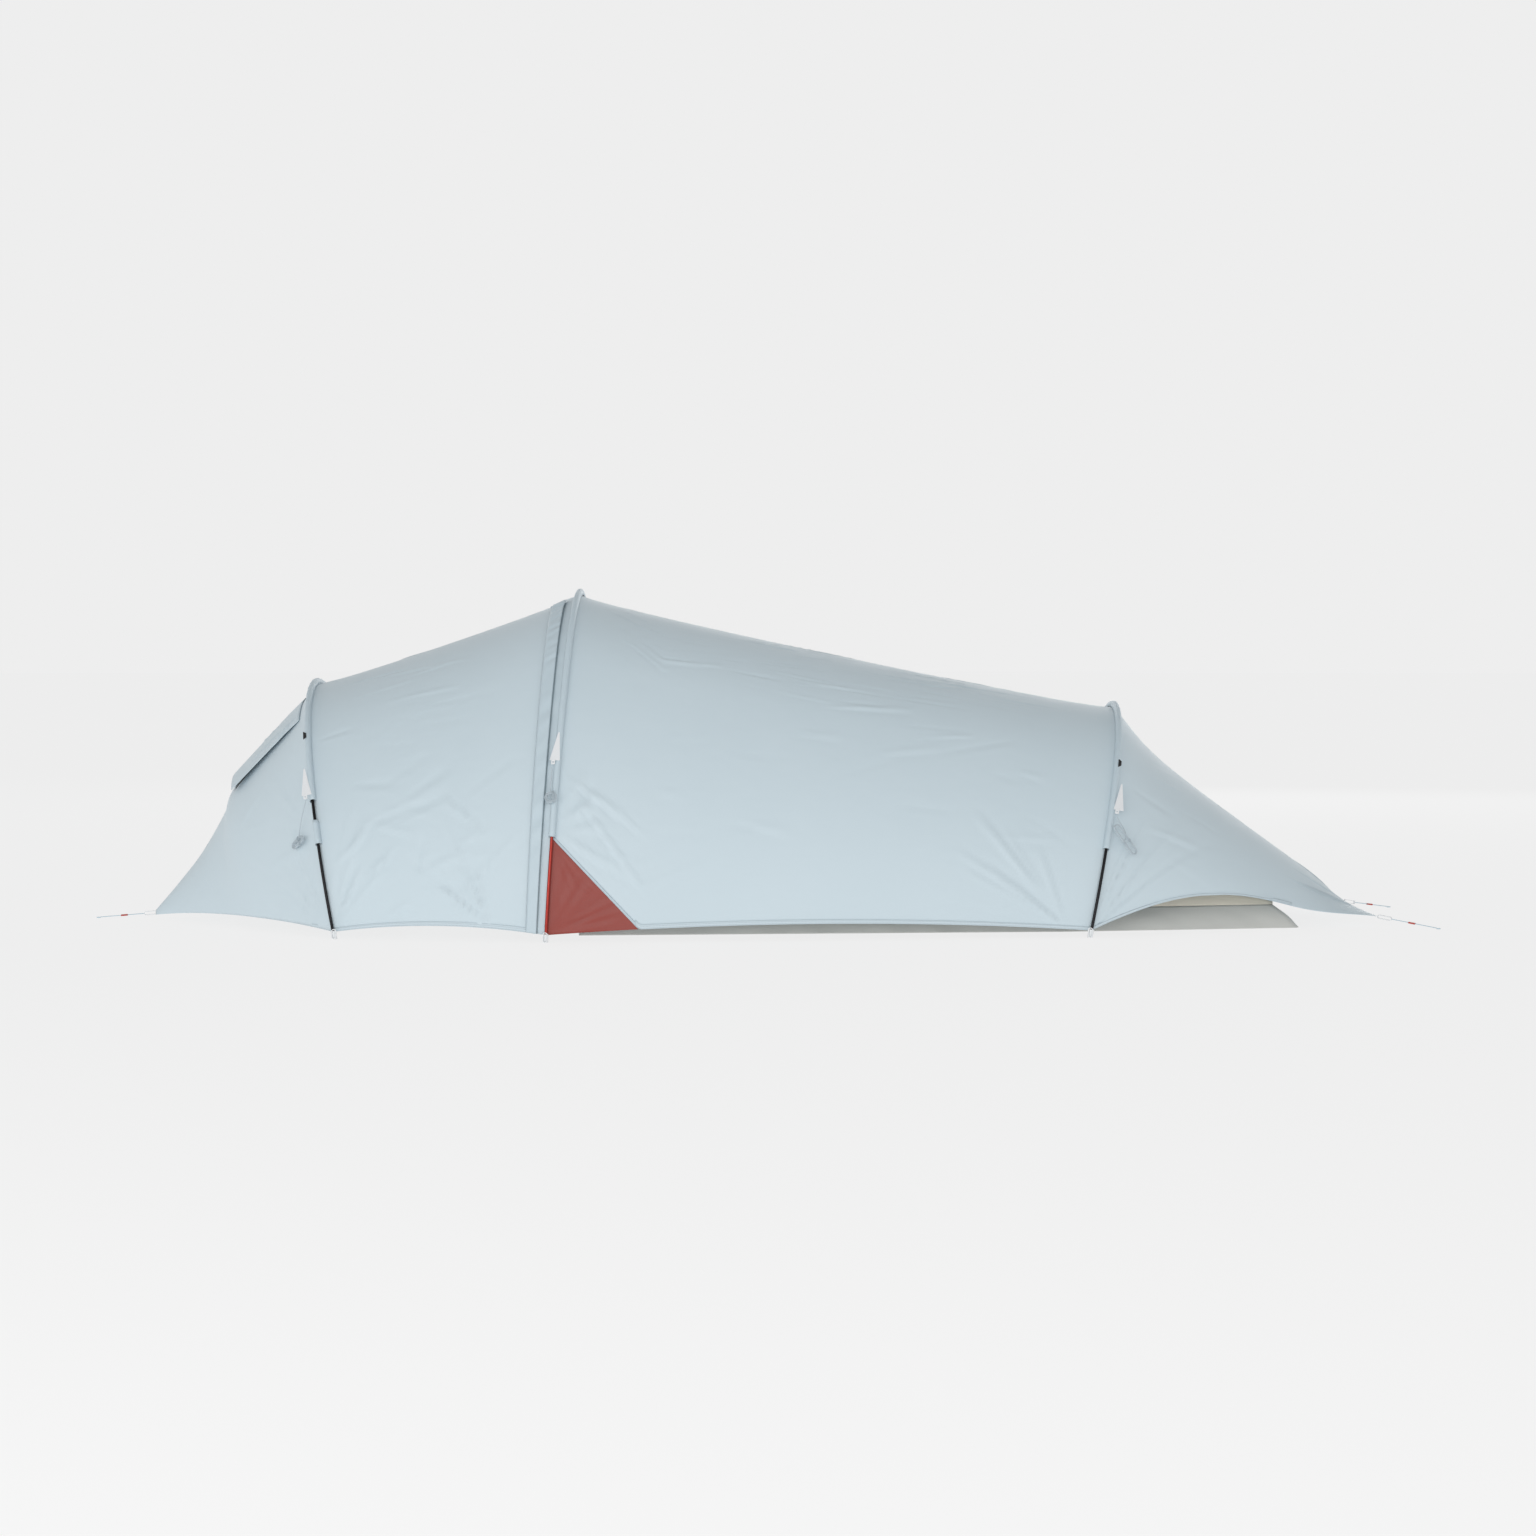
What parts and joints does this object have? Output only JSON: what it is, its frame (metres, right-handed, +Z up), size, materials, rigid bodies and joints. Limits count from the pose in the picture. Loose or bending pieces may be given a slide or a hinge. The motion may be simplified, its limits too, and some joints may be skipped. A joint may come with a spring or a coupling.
{
  "type": "tunnel tent",
  "caption": "Low tunnel tent on three arch poles, with a zipped vestibule door, inner tent, vent hood and guylines.",
  "frame": {"origin": "on the ground at the middle of the tent's box, without its cords", "axes": "+X from the nose to the tail, +Y away from the door side, +Z up"},
  "size_m": [4.158, 1.4856, 1.0352],
  "materials": {
    "fly_cloth": "coated ripstop, pale ice blue, slight sheen",
    "red_cloth": "coated ripstop, brick red",
    "sleeve_cloth": "coated ripstop band, pale ice blue",
    "black_pole": "anodised, satin black",
    "red_pole": "anodised, satin red",
    "bare_aluminium": "bare",
    "elastic_cord": "braided elastic",
    "white_plastic": "moulded",
    "white_webbing": "woven webbing",
    "black_plastic": "moulded",
    "zip_tape": "woven tape with a coil",
    "tied_cord": "braided cord, 2.5 mm",
    "taut_cord": "braided cord, 2.5 mm",
    "red_plastic": "moulded",
    "tub_cloth": "coated floor cloth, pale grey",
    "mesh": "fine insect mesh",
    "inner_cloth": "breathable ripstop, cream"
  },
  "bodies": {
    "tent": {"door_fold": "fly_cloth", "fly_main_far": "fly_cloth", "fly_main_near": "fly_cloth", "fly_nose_far": "fly_cloth", "fly_nose_near": "fly_cloth", "fly_tail_far": "fly_cloth", "fly_tail_near": "fly_cloth", "front_pole": "black_pole", "front_sleeve": "sleeve_cloth", "ground_eyes": "taut_cord", "gusset_bindings": "sleeve_cloth", "gussets": "red_cloth", "guy_patches": "white_webbing", "guy_runners": "white_plastic", "guyline_front_far": "tied_cord", "guyline_front_near": "tied_cord", "guyline_middle_far": "tied_cord", "guyline_middle_near": "tied_cord", "guyline_rear_far": "tied_cord", "guyline_rear_near": "tied_cord", "hank_front_far": "tied_cord", "hank_front_near": "tied_cord", "hank_middle_far": "tied_cord", "hank_middle_near": "tied_cord", "hank_rear_far": "tied_cord", "hank_rear_near": "tied_cord", "inner_canopy_far": "inner_cloth", "inner_canopy_near": "inner_cloth", "inner_foot_wall": "inner_cloth", "inner_head_wall": "inner_cloth", "middle_pole": "red_pole", "middle_sleeve": "sleeve_cloth", "peg_rings": "white_webbing", "pole_feet": "white_plastic", "pole_ferrules": "bare_aluminium", "pole_shock_cords": "elastic_cord", "pole_tips": "bare_aluminium", "rear_pole": "black_pole", "rear_sleeve": "sleeve_cloth", "sleeve_keepers": "black_plastic", "storm_flap_top": "fly_cloth", "taut_line_nose": "taut_cord", "taut_line_tail_far": "taut_cord", "taut_line_tail_near": "taut_cord", "tub": "tub_cloth", "vent_mesh": "mesh", "vestibule_far": "fly_cloth", "vestibule_near": "fly_cloth", "zip_tape_door_top": "zip_tape", "zip_tape_fly": "zip_tape"},
    "door": {"door_panel": "fly_cloth", "storm_flap": "fly_cloth", "zip_tape_door": "zip_tape"},
    "inner_door": {"inner_door": "inner_cloth"},
    "tensioner_nose": {"tensioner_nose": "red_plastic"},
    "tensioner_tail_far": {"tensioner_tail_far": "red_plastic"},
    "tensioner_tail_near": {"tensioner_tail_near": "red_plastic"},
    "vent_hood": {"vent_hood": "fly_cloth", "vent_hood_stiffener": "black_plastic"},
    "zip_slider": {"zip_slider": "white_plastic"}
  },
  "joints": [
    {"name": "door_fold_open", "type": "hinge", "parent": "tent", "child": "door", "pos_m": [-0.88582, -0.60816, 0.41587], "axis": [-0.6265, -0.1811, -0.7581], "range_deg": [0, 150], "deforming": ["door_fold"]},
    {"name": "zip_slide", "type": "hinge", "parent": "tent", "child": "zip_slider", "pos_m": [-0.64762, 0.5408, 0], "axis": [-0.999, 0, 0.0449], "range_deg": [0, 33.81]},
    {"name": "vent_hood_tilt", "type": "hinge", "parent": "tent", "child": "vent_hood", "pos_m": [-1.41711, 0, 0.69046], "axis": [0, 1, 0], "range_deg": [-3, 12]},
    {"name": "inner_door_swing", "type": "hinge", "parent": "tent", "child": "inner_door", "pos_m": [-0.526, 0.2694, 0.385], "axis": [0, 0, -1], "range_deg": [0, 95]},
    {"name": "tensioner_nose_slide", "type": "slide", "parent": "tent", "child": "tensioner_nose", "axis": [-0.9967, 0, -0.0811], "range_m": [-0.03, 0.03]},
    {"name": "tensioner_tail_near_slide", "type": "slide", "parent": "tent", "child": "tensioner_tail_near", "axis": [0.8563, -0.4966, -0.1419], "range_m": [-0.03, 0.03]},
    {"name": "tensioner_tail_far_slide", "type": "slide", "parent": "tent", "child": "tensioner_tail_far", "axis": [0.8563, 0.4966, -0.1419], "range_m": [-0.03, 0.03]}
  ],
  "couplings": [
    {"joint": "zip_slide", "follows": "door_fold_open", "ratio": 0.2253}
  ]
}
